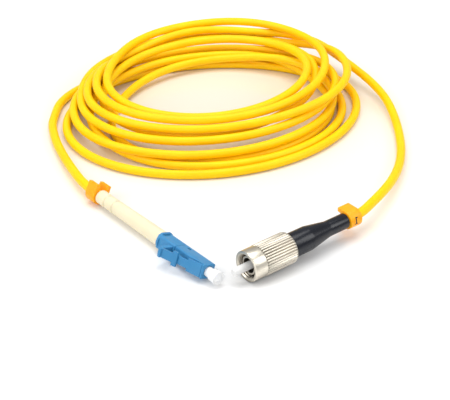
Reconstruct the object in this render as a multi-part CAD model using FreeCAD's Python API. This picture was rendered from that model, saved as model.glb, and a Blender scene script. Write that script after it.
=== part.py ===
import FreeCAD, Part
import math
import os

# Simplex single-mode patch cord: one yellow 3 mm cable with an LC plug at one
# end and an FC plug at the other, wound by hand in a coil that lies behind the
# plugs. Sizes in mm. Z is up, the floor is Z = 0, and the coil is towards +Y.
# Each plug is drawn in its own axes: X points out of the plug's mating end,
# X = 0 is its front face, and a place behind that face is negative.

V = FreeCAD.Vector
AXIS = V(1, 0, 0)
START = V(0, 0, 0)

# Cable, from the glass outwards
fibre_radius = 0.0625
buffer_radius = 0.45
yarn_radius = 0.93
cable_radius = 1.5
yarn_turn = 0.8
crimp_wall = 0.5

# Sides of the wound and drawn cable, of what is hidden in the plugs, and of the boots
tube_sides = 5
inner_sides = 12
boot_sides = 20
barrel_sides = 24
crimp_sides = 6
spring_steps = 8

# Gaps: bonded or pressed pieces, pieces that slide or turn, and loose room
bond_gap = 0.02
running_gap = 0.05
free_gap = 0.1

# FC plug, from the front rim of the nut
fc_ferrule_radius = 1.25
fc_ferrule_length = 13.0
fc_ferrule_reach = 4.8
fc_ferrule_tip = 0.35
fc_flange_radius = 2.0
fc_flange_thickness = 2.0
fc_flange_tail_radius = 1.0
fc_flange_tail_length = 5.2
fc_ferrule_travel = 1.5

fc_frame_set_back = 1.0
fc_frame_radius = 2.95
fc_frame_bore_radius = 2.35
fc_frame_bore_depth = 4.4
fc_frame_web = 1.2
fc_frame_flange_radius = 3.5
fc_frame_flange_place = 9.0
fc_frame_flange_width = 1.5

fc_key_width = 2.0
fc_key_height = 0.5
fc_key_front = 1.8
fc_key_length = 4.2
fc_key_ring_width = 1.4
fc_key_ring_wall = 0.28
fc_key_angle = -25.0

fc_nut_radius = 5.0
fc_nut_length = 16.2
fc_nut_band_radius = 4.9
fc_nut_band_length = 4.6
fc_nut_thread_radius = 3.65
fc_nut_rim_chamfer = 0.35
fc_nut_float = 2.0
fc_nut_web = 1.2
fc_knurl_count = 36
fc_knurl_depth = 0.3

fc_spring_wire = 0.35
fc_spring_radius = 1.5
fc_spring_turns = 4
fc_spring_length = 4.4

fc_stop_collar_width = 1.5
fc_stop_wall = 0.5
fc_stop_neck_radius = 1.2
fc_stop_neck_length = 6.5
fc_stop_bore_radius = 0.6
fc_crimp_length = 11.8

fc_boot_radius = 3.85
fc_boot_length = 24.8
fc_boot_straight = 9.5
fc_boot_taper_end = 17.5
fc_boot_tail_radius = 2.5
fc_boot_nut_gap = 0.3

# LC plug, from the front face of its housing; Z is the side with the latch
lc_ferrule_radius = 0.625
lc_ferrule_length = 6.5
lc_ferrule_reach = 0.5
lc_flange_radius = 1.45
lc_flange_thickness = 1.38
lc_flange_tail_radius = 0.75
lc_flange_tail_length = 3.4
lc_ferrule_travel = 1.5

lc_body_half_width = 2.25
lc_body_top = 2.65
lc_body_bottom = 2.1
lc_body_edge = 0.3
lc_housing_length = 13.2
lc_seam_gap = 0.2
lc_bore_radius = 1.65
lc_bore_depth = 4.2
lc_bore_web = 1.0
lc_window_front = 10.0
lc_window_length = 1.4
lc_window_height = 0.8
lc_window_drop = 0.7

lc_latch_pin_place = 1.0
lc_latch_pin_height = 2.35
lc_latch_pin_radius = 0.3
lc_latch_width = 4.1
lc_latch_shoulder = 5.5
lc_latch_tail_width = 2.6
lc_latch_bend = 8.0
lc_latch_end = 9.9
lc_latch_rise = 1.92
lc_latch_thickness = 0.56
lc_latch_slot_front = 0.5
lc_recess_front = 1.4
lc_recess_floor = 2.03
lc_recess_back = 6.0

lc_sleeve_length = 8.45
lc_sleeve_bore_radius = 1.9
lc_rim_radius = 3.12
lc_rim_flat = 2.7
lc_rim_width = 0.85
lc_slot_width = 0.6
lc_slot_height = 2.4
lc_nub_front = 15.0
lc_nub_length = 3.0
lc_nub_height = 1.4
lc_nub_width = 1.6

lc_trigger_pin_place = 14.8
lc_trigger_pin_height = 6.75
lc_trigger_pin_radius = 0.4
lc_trigger_width = 2.8
lc_trigger_tip_place = 8.9
lc_trigger_tip_height = 4.92
lc_trigger_tip_thickness = 0.6
lc_trigger_lip_height = 0.35
lc_trigger_lip_length = 0.9
lc_wing_width = 4.7
lc_wing_length = 1.5
lc_post_wall = 0.55
lc_post_front_height = 5.6
lc_post_lip_drop = 0.36
lc_post_bevel = 37.0

lc_spring_wire = 0.3
lc_spring_radius = 1.15
lc_spring_turns = 3
lc_spring_length = 2.7

lc_stop_plug_length = 4.7
lc_stop_neck_radius = 1.15
lc_stop_neck_length = 13.5
lc_stop_front_bore_depth = 2.6
lc_stop_bore_radius = 0.6
lc_stop_lug_height = 0.3
lc_crimp_length = 9.2
lc_crimp_set_back = 0.6

lc_boot_radius = 3.0
lc_boot_length = 33.1
lc_boot_spigot_length = 2.0
lc_boot_taper_end = 23.3
lc_boot_tail_radius = 2.3
lc_boot_groove_radius = 1.95
lc_boot_groove_width = 0.8
lc_boot_groove_count = 2
lc_boot_groove_pitch = 4.2

lc_cap_stem_radius = 1.6
lc_cap_stem_depth = 4.0
lc_cap_stem_out = 2.0
lc_cap_radius = 2.1
lc_cap_length = 5.5
lc_cap_bore_front = 1.6
lc_cap_edge = 0.5

# Marker clips on the cable behind each boot
clip_width = 4.5
clip_wall = 1.4
clip_arm_height = 3.6
clip_mouth = 2.3
clip_mouth_flare = 3.3
clip_boot_gap = 0.2
clip_cover = 0.3

# Room left behind the glass for the push of a sprung ferrule
glass_room = 0.7

# How far a cutting tool runs past the faces that it cuts
past = 1.0

# Where the plugs' front faces lie and how the plugs are turned; the back edge of
# the nut's band and the rim of the LC sleeve rest on the floor
floor_gap = 0.005
fc_front_x = 7.28
fc_front_y = -21.98
fc_heading = 218.06
fc_nose_down = 1.2
lc_front_x = -3.6
lc_front_y = -21.71
lc_heading = -50.6
lc_nose_down = 0.1
lc_roll = 72.0
fc_clip_roll = 90.0
lc_clip_roll = -99.0

# Coil: spirals out and in over four layers, clockwise from the LC end
coil_turns = 9.333
coil_layers = 4
coil_inner_radius = 35.0
coil_outer_radius = 48.5
coil_stretch = 1.12
coil_squeeze = 0.93
coil_slant = 25.0
coil_layer_pitch = 3.45
coil_climb_turns = 0.5
coil_shift_turns = 0.9
coil_centre_x = (-3.4, -7.6, -5.4, -2.3)
coil_centre_y = 88.79
coil_lean = 15.7
coil_entry_spread = 3.5
coil_entry_turns = 0.12
coil_slack_loop = 4.6
coil_slack_turn = 0.41
coil_slack_width = 0.12
coil_end_run = 3.0

# Free stretches of cable from each plug to the coil: the straight runs at their
# ends, and the corners between, chosen by hand along the leads on the floor
lc_lead_first_run = 12.0
lc_lead_corners = [(-55.4, 52.79, 1.7)]
lc_lead_last_run = 10.0
fc_lead_first_run = 13.0
fc_lead_corners = [
    (56.2, 34.29, 3.2),
    (62.0, 54.79, 1.6),
    (62.9, 74.29, 1.6),
    (59.5, 93.29, 4.3),
    (50.5, 113.29, 8.4),
]
fc_lead_last_run = 13.5
# Share of the shorter run at a corner that its arc takes
corner_share = 0.45


def turned(profile):
    """Solid of revolution about the X axis of (x, radius) corners in order."""
    corners = [V(x, 0, radius) for x, radius in profile]
    face = Part.Face(Part.makePolygon(corners + corners[:1]))
    return face.revolve(START, AXIS, 360)


def faceted(outline, sides):
    """Like a turned solid, but with flats; its corners lie on the outline's radii."""
    rings = []
    for x, radius in outline:
        turns = [2 * math.pi * (side + 0.5) / sides for side in range(sides)]
        rings.append([V(x, radius * math.sin(turn), radius * math.cos(turn)) for turn in turns])
    faces = [Part.Face(Part.makePolygon(ring + ring[:1])) for ring in (rings[0], rings[-1])]
    for ring, following in zip(rings, rings[1:]):
        for side in range(sides):
            after = (side + 1) % sides
            corners = [ring[side], ring[after], following[after], following[side]]
            faces.append(Part.Face(Part.makePolygon(corners + corners[:1])))
    solid = Part.Solid(Part.makeShell(faces)).removeSplitter()
    if solid.Volume < 0:
        solid.reverse()
    return solid


def faceted_bore(outline, sides):
    """Tool for a bore whose flats, not its corners, lie on the outline's radii."""
    widened = 1 / math.cos(math.pi / sides)
    return faceted([(x, radius * widened) for x, radius in outline], sides)


def cable_layer(front, back, outer, inner):
    layer = faceted([(front, outer), (back, outer)], inner_sides)
    if inner:
        bore = faceted_bore([(front + past, inner), (back - past, inner)], inner_sides)
        layer = layer.cut(bore)
    return layer


def rod(front, back, radius):
    return Part.makeCylinder(radius, front - back, V(back, 0, 0), AXIS)


def block(front, back, right, left, low, high):
    return Part.makeBox(front - back, left - right, high - low, V(back, right, low))


def side_plate(outline, width):
    """Plate of (x, z) corners, as wide as given and centred on Y = 0."""
    corners = [V(x, -width / 2, z) for x, z in outline]
    face = Part.Face(Part.makePolygon(corners + corners[:1]))
    return face.extrude(V(0, width, 0))


def cross_pin(place, height, radius, width):
    return Part.makeCylinder(radius, width, V(-place, -width / 2, height), V(0, 1, 0))


def fibre_hole(front, back):
    hole = fibre_radius + bond_gap
    return faceted_bore([(front + past, hole), (back - past, hole)], inner_sides)


def ferrule_socket(ferrule_radius, ferrule_back, tail_back):
    """Tool for the bore that holds a ferrule in front and passes the buffer behind."""
    seat = ferrule_radius + bond_gap
    bore = buffer_radius + bond_gap
    socket = ferrule_back - bond_gap
    return faceted_bore([
        (past, seat),
        (socket, seat),
        (socket, bore),
        (tail_back - past, bore),
    ], inner_sides)


def spring(front, length, radius, wire, turns):
    """Square wire wound in straight steps."""
    steps = spring_steps * turns
    pitch = (length - wire * 2) / turns
    path = []
    for step in range(steps + 1):
        turn = 2 * math.pi * step / spring_steps
        x = front - wire - pitch * step / spring_steps
        path.append(V(x, radius * math.cos(turn), radius * math.sin(turn)))
    half = wire / 2
    corners = [V(path[0].x + a, radius + b, 0) for a, b in
               ((half, half), (half, -half), (-half, -half), (-half, half))]
    section = Part.makePolygon(corners + corners[:1])
    return Part.makePolygon(path).makePipeShell([section], True, False, 1)


# FC plug

crimp_room = cable_radius + bond_gap + crimp_wall + running_gap

fc_ferrule_back = fc_ferrule_reach - fc_ferrule_length
fc_web_front = -fc_frame_set_back - fc_frame_bore_depth
fc_web_back = fc_web_front - fc_frame_web
fc_flange_front = fc_web_back - bond_gap
fc_flange_back = fc_flange_front - fc_flange_thickness
fc_chamber_radius = fc_flange_radius + free_gap
fc_nut_web_front = -fc_frame_flange_place - fc_frame_flange_width - fc_nut_float
fc_nut_web_back = fc_nut_web_front - fc_nut_web
fc_spring_front = fc_flange_back - bond_gap
fc_stop_front = fc_spring_front - fc_spring_length - bond_gap
fc_tail_back = fc_flange_back - fc_flange_tail_length
fc_tail_room = fc_tail_back - fc_ferrule_travel - glass_room
fc_collar_back = fc_tail_room - fc_stop_wall
fc_collar_front = fc_collar_back + fc_stop_collar_width
fc_frame_back = fc_collar_front + bond_gap
fc_neck_back = fc_collar_back - fc_stop_neck_length
fc_crimp_front = fc_collar_back - 2 * free_gap
fc_crimp_back = fc_crimp_front - fc_crimp_length
fc_boot_front = fc_nut_web_back - fc_boot_nut_gap
fc_boot_back = fc_boot_front - fc_boot_length
fc_clip_front = fc_boot_back - clip_boot_gap
fc_jacket_front = fc_neck_back - yarn_turn
fc_jacket_back = fc_clip_front - clip_width + clip_cover
fc_glass_back = fc_jacket_back + fc_ferrule_travel + glass_room


def fc_ferrule():
    outside = turned([
        (fc_ferrule_reach, 0),
        (fc_ferrule_reach, fc_ferrule_radius - fc_ferrule_tip),
        (fc_ferrule_reach - fc_ferrule_tip, fc_ferrule_radius),
        (fc_ferrule_back, fc_ferrule_radius),
        (fc_ferrule_back, 0),
    ])
    return outside.cut(fibre_hole(fc_ferrule_reach, fc_ferrule_back))


def fc_ferrule_flange():
    outside = faceted([
        (fc_flange_front, fc_flange_radius),
        (fc_flange_back, fc_flange_radius),
        (fc_flange_back, fc_flange_tail_radius),
        (fc_tail_back, fc_flange_tail_radius),
    ], inner_sides)
    return outside.cut(ferrule_socket(fc_ferrule_radius, fc_ferrule_back, fc_tail_back))


def fc_frame():
    """Barrel with the web that stops the ferrule and the flange that holds the nut."""
    flange_back = -fc_frame_flange_place - fc_frame_flange_width
    outside = faceted([
        (-fc_frame_set_back, fc_frame_radius),
        (-fc_frame_flange_place, fc_frame_radius),
        (-fc_frame_flange_place, fc_frame_flange_radius),
        (flange_back, fc_frame_flange_radius),
        (flange_back, fc_frame_radius),
        (fc_frame_back, fc_frame_radius),
    ], barrel_sides)
    hole = fc_ferrule_radius + free_gap
    return outside.cut(faceted_bore([
        (0, fc_frame_bore_radius),
        (fc_web_front, fc_frame_bore_radius),
        (fc_web_front, hole),
        (fc_web_back, hole),
        (fc_web_back, fc_chamber_radius),
        (fc_frame_back - past, fc_chamber_radius),
    ], barrel_sides))


def fc_key_ring():
    inner = fc_frame_radius + bond_gap
    outer = inner + fc_key_ring_wall
    back = -fc_key_front - fc_key_length
    ring = faceted([(back + fc_key_ring_width, outer), (back, outer)], barrel_sides)
    lug = block(-fc_key_front, back, inner - past, inner + fc_key_height,
                -fc_key_width / 2, fc_key_width / 2)
    hole = faceted_bore([(0, inner), (back - past, inner)], barrel_sides)
    key = ring.fuse(lug).cut(hole).removeSplitter()
    key.rotate(START, AXIS, fc_key_angle)
    return key


def fc_coupling_nut():
    band = rod(0, -fc_nut_band_length, fc_nut_band_radius)
    grip = []
    for ridge in range(fc_knurl_count):
        turn = 2 * math.pi * ridge / fc_knurl_count
        valley_turn = turn + math.pi / fc_knurl_count
        valley = fc_nut_radius - fc_knurl_depth
        for angle, radius in ((turn, fc_nut_radius), (valley_turn, valley)):
            grip.append(V(-fc_nut_band_length, radius * math.sin(angle), radius * math.cos(angle)))
    knurl = Part.Face(Part.makePolygon(grip + grip[:1]))
    knurl = knurl.extrude(V(fc_nut_band_length - fc_nut_length, 0, 0))
    inside = turned([
        (past, 0),
        (past, fc_nut_thread_radius + fc_nut_rim_chamfer),
        (0, fc_nut_thread_radius + fc_nut_rim_chamfer),
        (-fc_nut_rim_chamfer, fc_nut_thread_radius),
        (fc_nut_web_front, fc_nut_thread_radius),
        (fc_nut_web_front, fc_frame_radius + free_gap),
        (fc_nut_web_back, fc_frame_radius + free_gap),
        (fc_nut_web_back, fc_boot_radius + 2 * free_gap),
        (-fc_nut_length - past, fc_boot_radius + 2 * free_gap),
        (-fc_nut_length - past, 0),
    ])
    return band.fuse(knurl).cut(inside)


def fc_rear_body():
    """Stop ring: plugs the frame behind the spring, with the neck for the crimp."""
    front_bore = fc_flange_tail_radius + 2 * free_gap
    outside = faceted([
        (fc_stop_front, fc_chamber_radius - bond_gap),
        (fc_collar_front, fc_chamber_radius - bond_gap),
        (fc_collar_front, fc_frame_radius),
        (fc_collar_back, fc_frame_radius),
        (fc_collar_back, fc_stop_neck_radius),
        (fc_neck_back, fc_stop_neck_radius),
    ], inner_sides)
    return outside.cut(faceted_bore([
        (fc_stop_front + past, front_bore),
        (fc_tail_room, front_bore),
        (fc_tail_room, fc_stop_bore_radius),
        (fc_neck_back - past, fc_stop_bore_radius),
    ], inner_sides))


def crimp_sleeve(front, back):
    """Aluminium sleeve pressed to a hexagon over the neck, the yarn and the jacket."""
    bore = cable_radius + bond_gap
    sleeve = faceted([(front, bore + crimp_wall), (back, bore + crimp_wall)], crimp_sides)
    return sleeve.cut(faceted_bore([(front + past, bore), (back - past, bore)], crimp_sides))


def aramid_yarn(yarn_front, neck_back, neck_radius, jacket_back):
    """Yarn folded back over the neck, then along inside the jacket."""
    inner = buffer_radius + bond_gap
    fold_back = neck_back - yarn_turn / 2
    outside = faceted([
        (yarn_front, cable_radius),
        (fold_back, cable_radius),
        (fold_back, yarn_radius),
        (jacket_back + free_gap, yarn_radius),
    ], inner_sides)
    return outside.cut(faceted_bore([
        (yarn_front + past, neck_radius + bond_gap),
        (neck_back - bond_gap, neck_radius + bond_gap),
        (neck_back - bond_gap, inner),
        (jacket_back - past, inner),
    ], inner_sides))


def fc_boot():
    collar_seat = fc_frame_radius + bond_gap
    seat_back = fc_collar_back - free_gap
    outside = faceted([
        (fc_boot_front, fc_boot_radius),
        (fc_boot_front - fc_boot_straight, fc_boot_radius),
        (fc_boot_front - fc_boot_taper_end, fc_boot_tail_radius),
        (fc_boot_back, fc_boot_tail_radius),
    ], boot_sides)
    return outside.cut(faceted_bore([
        (fc_boot_front + past, collar_seat),
        (seat_back, collar_seat),
        (seat_back, crimp_room),
        (fc_crimp_back - 2 * free_gap, crimp_room),
        (fc_crimp_back - 2 * free_gap, cable_radius + bond_gap),
        (fc_boot_back - past, cable_radius + bond_gap),
    ], boot_sides))


# LC plug

lc_ferrule_back = lc_ferrule_reach - lc_ferrule_length
lc_web_back = -lc_bore_depth - lc_bore_web
lc_flange_front = lc_web_back - bond_gap
lc_flange_back = lc_flange_front - lc_flange_thickness
lc_spring_front = lc_flange_back - bond_gap
lc_stop_front = lc_spring_front - lc_spring_length - bond_gap
lc_stop_plug_back = lc_stop_front - lc_stop_plug_length
lc_neck_back = lc_stop_plug_back - lc_stop_neck_length
lc_sleeve_back = -lc_housing_length - lc_sleeve_length
lc_boot_front = lc_sleeve_back - running_gap
lc_boot_back = lc_boot_front - lc_boot_length
lc_crimp_front = lc_boot_front - lc_crimp_set_back
lc_crimp_back = lc_crimp_front - lc_crimp_length
lc_clip_front = lc_boot_back - clip_boot_gap
lc_jacket_front = lc_neck_back - yarn_turn
lc_jacket_back = lc_clip_front - clip_width + clip_cover
lc_glass_back = lc_jacket_back + lc_ferrule_travel + glass_room
lc_pin_x = -lc_latch_pin_place
lc_window_top = lc_window_height / 2 - lc_window_drop
lc_window_bottom = -lc_window_height / 2 - lc_window_drop


def lc_ferrule():
    outside = rod(lc_ferrule_reach, lc_ferrule_back, lc_ferrule_radius)
    return outside.cut(fibre_hole(lc_ferrule_reach, lc_ferrule_back))


def lc_ferrule_flange():
    tail_back = lc_flange_back - lc_flange_tail_length
    ring = faceted([(lc_flange_front, lc_flange_radius), (lc_flange_back, lc_flange_radius)],
                   crimp_sides)
    tail = faceted([
        (lc_flange_back, lc_flange_tail_radius),
        (tail_back, lc_flange_tail_radius),
    ], inner_sides)
    return ring.fuse(tail).cut(ferrule_socket(lc_ferrule_radius, lc_ferrule_back, tail_back))


def plug_body(front, back):
    """Length of the plug's outer section, its four long edges broken."""
    body = block(front, back, -lc_body_half_width, lc_body_half_width,
                 -lc_body_bottom, lc_body_top)
    long_edges = [edge for edge in body.Edges if abs(edge.tangentAt(0).x) > 1 / 2]
    return body.makeChamfer(lc_body_edge, long_edges)


def lc_housing():
    body = plug_body(0, -lc_housing_length)
    eye = lc_ferrule_radius + free_gap
    bore = faceted_bore([
        (past, lc_bore_radius),
        (-lc_bore_depth, lc_bore_radius),
        (-lc_bore_depth, eye),
        (lc_web_back, eye),
        (lc_web_back, lc_bore_radius),
        (-lc_housing_length - past, lc_bore_radius),
    ], boot_sides)
    above = lc_body_top + past
    recess = side_plate([
        (-lc_latch_slot_front, above),
        (-lc_latch_slot_front, lc_recess_floor),
        (-lc_recess_front, lc_recess_floor),
        (-lc_recess_back, lc_body_top),
        (-lc_recess_back, above),
    ], 2 * lc_body_half_width + past)
    windows = block(-lc_window_front, -lc_window_front - lc_window_length,
                    -lc_body_half_width - past, lc_body_half_width + past,
                    lc_window_bottom, lc_window_top)
    return body.cut([bore, recess, windows])


def lc_latch_lever():
    half = lc_latch_thickness / 2
    bend_height = lc_latch_pin_height + lc_latch_rise
    shoulder_height = (lc_latch_pin_height
                       + lc_latch_rise * (lc_latch_shoulder - lc_latch_pin_place)
                       / (lc_latch_bend - lc_latch_pin_place))
    pin = cross_pin(lc_latch_pin_place, lc_latch_pin_height, lc_latch_pin_radius, lc_latch_width)
    wide = side_plate([
        (lc_pin_x, lc_latch_pin_height + half),
        (-lc_latch_shoulder, shoulder_height + half),
        (-lc_latch_shoulder, shoulder_height - half),
        (lc_pin_x, lc_latch_pin_height - half),
    ], lc_latch_width)
    tail = side_plate([
        (-lc_latch_shoulder, shoulder_height + half),
        (-lc_latch_bend, bend_height + half),
        (-lc_latch_end, bend_height + half),
        (-lc_latch_end, bend_height - half),
        (-lc_latch_bend, bend_height - half),
        (-lc_latch_shoulder, shoulder_height - half),
    ], lc_latch_tail_width)
    return pin.fuse([wide, tail]).removeSplitter()


def lc_trigger_sleeve():
    front = -lc_housing_length - lc_seam_gap
    rim_front = lc_sleeve_back + lc_rim_width
    body = plug_body(front, lc_sleeve_back)
    rim = rod(rim_front, lc_sleeve_back, lc_rim_radius)
    rim = rim.common(block(rim_front, lc_sleeve_back, -lc_rim_flat, lc_rim_flat,
                           -lc_rim_radius, lc_rim_radius))
    nub = block(-lc_nub_front, -lc_nub_front - lc_nub_length,
                -lc_nub_width / 2, lc_nub_width / 2,
                -lc_body_bottom - lc_nub_height, -lc_body_bottom + lc_body_edge)
    notch_radius = lc_trigger_pin_radius + running_gap
    post_front = -lc_trigger_pin_place + notch_radius
    post_back = -lc_trigger_pin_place - notch_radius - lc_post_wall
    post = side_plate([
        (post_front, lc_body_top - lc_body_edge),
        (post_front, lc_post_front_height),
        (-lc_trigger_pin_place, lc_trigger_pin_height - lc_post_lip_drop),
        (-lc_trigger_pin_place - notch_radius * math.cos(math.radians(lc_post_bevel)),
         lc_trigger_pin_height),
        (post_back, lc_trigger_pin_height),
        (post_back, lc_body_top - lc_body_edge),
    ], lc_trigger_width)
    notch = cross_pin(lc_trigger_pin_place, lc_trigger_pin_height, notch_radius,
                      lc_trigger_width + past)
    bore = faceted_bore([
        (front + past, lc_sleeve_bore_radius),
        (lc_sleeve_back - past, lc_sleeve_bore_radius),
    ], boot_sides)
    slots = block(rim_front + lc_slot_width, rim_front, -lc_rim_radius, lc_rim_radius,
                  -lc_slot_height / 2, lc_slot_height / 2)
    return body.fuse([rim, nub, post]).cut([notch, bore, slots]).removeSplitter()


def lc_trigger():
    pin_x = -lc_trigger_pin_place
    tip_x = -lc_trigger_tip_place
    tip_half = lc_trigger_tip_thickness / 2
    pin = cross_pin(lc_trigger_pin_place, lc_trigger_pin_height, lc_trigger_pin_radius,
                    lc_trigger_width)
    arm = side_plate([
        (pin_x, lc_trigger_pin_height + lc_trigger_pin_radius),
        (tip_x, lc_trigger_tip_height + tip_half),
        (tip_x, lc_trigger_tip_height - tip_half),
        (pin_x, lc_trigger_pin_height - lc_trigger_pin_radius),
    ], lc_trigger_width)
    lip_front = pin_x + lc_trigger_lip_length
    lip_top = lc_trigger_pin_height + lc_trigger_pin_radius + lc_trigger_lip_height
    lip = side_plate([
        (pin_x, lip_top),
        (lip_front, lip_top),
        (lip_front, lc_trigger_pin_height),
        (pin_x, lc_trigger_pin_height),
    ], lc_trigger_width)
    wing_x = tip_x - lc_wing_length
    slope = ((lc_trigger_pin_height - lc_trigger_tip_height)
             / (lc_trigger_pin_place - lc_trigger_tip_place))
    wing_height = lc_trigger_tip_height + slope * lc_wing_length
    wings = side_plate([
        (tip_x, lc_trigger_tip_height + tip_half),
        (tip_x, lc_trigger_tip_height - tip_half),
        (wing_x, wing_height - tip_half),
        (wing_x, wing_height + tip_half),
    ], lc_wing_width)
    return pin.fuse([arm, lip, wings]).removeSplitter()


def lc_rear_body():
    """Stop: snaps into the housing windows and carries the neck for the crimp."""
    plug = lc_bore_radius - bond_gap
    front_bore = lc_flange_tail_radius + free_gap
    bore_back = lc_stop_front - lc_stop_front_bore_depth
    outside = faceted([
        (lc_stop_front, plug),
        (lc_stop_plug_back, plug),
        (lc_stop_plug_back, lc_stop_neck_radius),
        (lc_neck_back, lc_stop_neck_radius),
    ], inner_sides)
    lug_reach = plug + lc_stop_lug_height
    lugs = block(-lc_window_front - free_gap, -lc_window_front - lc_window_length + free_gap,
                 -lug_reach, lug_reach, lc_window_bottom + free_gap, lc_window_top - free_gap)
    return outside.fuse(lugs).cut(faceted_bore([
        (lc_stop_front + past, front_bore),
        (bore_back, front_bore),
        (bore_back, lc_stop_bore_radius),
        (lc_neck_back - past, lc_stop_bore_radius),
    ], inner_sides)).removeSplitter()


def lc_boot():
    neck_room = lc_stop_neck_radius + running_gap
    taper_back = lc_boot_front - lc_boot_taper_end
    outline = [
        (lc_boot_front + lc_boot_spigot_length, lc_sleeve_bore_radius - bond_gap),
        (lc_boot_front, lc_sleeve_bore_radius - bond_gap),
        (lc_boot_front, lc_boot_radius),
        (taper_back, lc_boot_tail_radius),
    ]
    for number in range(lc_boot_groove_count):
        front = taper_back - lc_boot_groove_width - lc_boot_groove_pitch * number
        outline += [
            (front, lc_boot_tail_radius),
            (front, lc_boot_groove_radius),
            (front - lc_boot_groove_width, lc_boot_groove_radius),
            (front - lc_boot_groove_width, lc_boot_tail_radius),
        ]
    outline.append((lc_boot_back, lc_boot_tail_radius))
    return faceted(outline, boot_sides).cut(faceted_bore([
        (lc_boot_front + lc_boot_spigot_length + past, neck_room),
        (lc_crimp_front + free_gap, neck_room),
        (lc_crimp_front + free_gap, crimp_room),
        (lc_crimp_back - 2 * free_gap, crimp_room),
        (lc_crimp_back - 2 * free_gap, cable_radius + bond_gap),
        (lc_boot_back - past, cable_radius + bond_gap),
    ], boot_sides))


def lc_dust_cap():
    bore = lc_ferrule_radius + running_gap
    outside = faceted([
        (-lc_cap_stem_depth, lc_cap_stem_radius),
        (lc_cap_stem_out, lc_cap_stem_radius),
        (lc_cap_stem_out, lc_cap_radius),
        (lc_cap_length - lc_cap_edge, lc_cap_radius),
        (lc_cap_length, lc_cap_radius - lc_cap_edge),
    ], boot_sides)
    return outside.cut(rod(lc_cap_bore_front, -lc_cap_stem_depth - past, bore))


def marker_clip(front, roll):
    """Snap-on band, its mouth towards Z before it is rolled round the cable."""
    back = front - clip_width
    outer = cable_radius + running_gap + clip_wall
    ring = rod(front, back, outer)
    arms = block(front, back, -outer, outer, 0, clip_arm_height)
    start = back - past
    corners = [
        V(start, -clip_mouth / 2, cable_radius / 2),
        V(start, clip_mouth / 2, cable_radius / 2),
        V(start, clip_mouth_flare / 2, clip_arm_height + free_gap),
        V(start, -clip_mouth_flare / 2, clip_arm_height + free_gap),
    ]
    mouth = Part.Face(Part.makePolygon(corners + corners[:1]))
    mouth = mouth.extrude(V(clip_width + 2 * past, 0, 0))
    bore = rod(front + past, start, cable_radius + running_gap)
    clip = ring.fuse(arms).cut([bore, mouth]).removeSplitter()
    clip.rotate(START, AXIS, roll)
    return clip


# Cable

def arc_middle(first, corner, last):
    """Middle of the arc that touches both legs of a corner at their far ends."""
    centre = (first + last) * 0.5
    half = (last - first).Length / 2
    leg = (corner - first).Length
    bow = half * math.tan(math.acos(min(1, half / leg)) / 2)
    outward = corner - centre
    outward.normalize()
    return centre + outward * bow


def biarc(first, first_heading, last, last_heading):
    """Two arcs from point to point that leave and arrive along the headings."""
    chord = last - first
    both = first_heading + last_heading
    square = both.dot(both) - 4
    linear = -2 * chord.dot(both)
    root = math.sqrt(linear * linear - 4 * square * chord.dot(chord))
    leg = (-linear - root) / (2 * square)
    if leg < 0:
        leg = (-linear + root) / (2 * square)
    first_corner = first + first_heading * leg
    last_corner = last - last_heading * leg
    middle = (first_corner + last_corner) * 0.5
    return [
        Part.Arc(first, arc_middle(first, first_corner, middle), middle).toShape(),
        Part.Arc(middle, arc_middle(middle, last_corner, last), last).toShape(),
    ]


def cable_section(start, heading):
    across = heading.cross(V(0, 0, 1))
    across.normalize()
    upward = across.cross(heading)
    corners = []
    for side in range(tube_sides + 1):
        turn = 2 * math.pi * (side + 0.5) / tube_sides
        corners.append(start + (across * math.sin(turn) - upward * math.cos(turn)) * cable_radius)
    return Part.makePolygon(corners)


def swept_cable(name, edges, start, heading):
    wire = Part.Wire(edges)
    solid = wire.makePipeShell([cable_section(start, heading)], True, False)
    area = tube_sides * math.sin(2 * math.pi / tube_sides) * cable_radius ** 2 / 2
    print(name, "length", round(wire.Length, 1), "volume", round(solid.Volume, 1),
          "section times length", round(area * wire.Length, 1))
    return solid


def lead(name, plug_end, plug_heading, first_run, corners, last_run, coil_end, coil_heading_out):
    """Free stretch from a plug to the coil: straight runs joined by arcs that touch them."""
    points = [plug_end, plug_end + plug_heading * first_run]
    points += [V(*corner) for corner in corners]
    points += [coil_end + coil_heading_out * last_run, coil_end]
    edges = []
    radii = []
    last = points[0]
    for before, corner, after in zip(points, points[1:], points[2:]):
        arriving = corner - before
        leaving = after - corner
        reach = corner_share * min(arriving.Length, leaving.Length)
        radii.append(round(reach / math.tan(arriving.getAngle(leaving) / 2), 1))
        arriving.normalize()
        leaving.normalize()
        arc_start = corner - arriving * reach
        arc_end = corner + leaving * reach
        edges.append(Part.LineSegment(last, arc_start).toShape())
        edges.append(Part.Arc(arc_start, arc_middle(arc_start, corner, arc_end), arc_end).toShape())
        last = arc_end
    edges.append(Part.LineSegment(last, points[-1]).toShape())
    print(name, "bend radii", radii)
    print(name, "runs", [round((b - a).Length, 1) for a, b in zip(points, points[1:])])
    print(name, "points", [tuple(round(c, 2) for c in point) for point in points])
    return swept_cable(name, edges, points[0], plug_heading)


def ease(share):
    share = min(1, max(0, share))
    return share * share * (3 - 2 * share)


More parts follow.
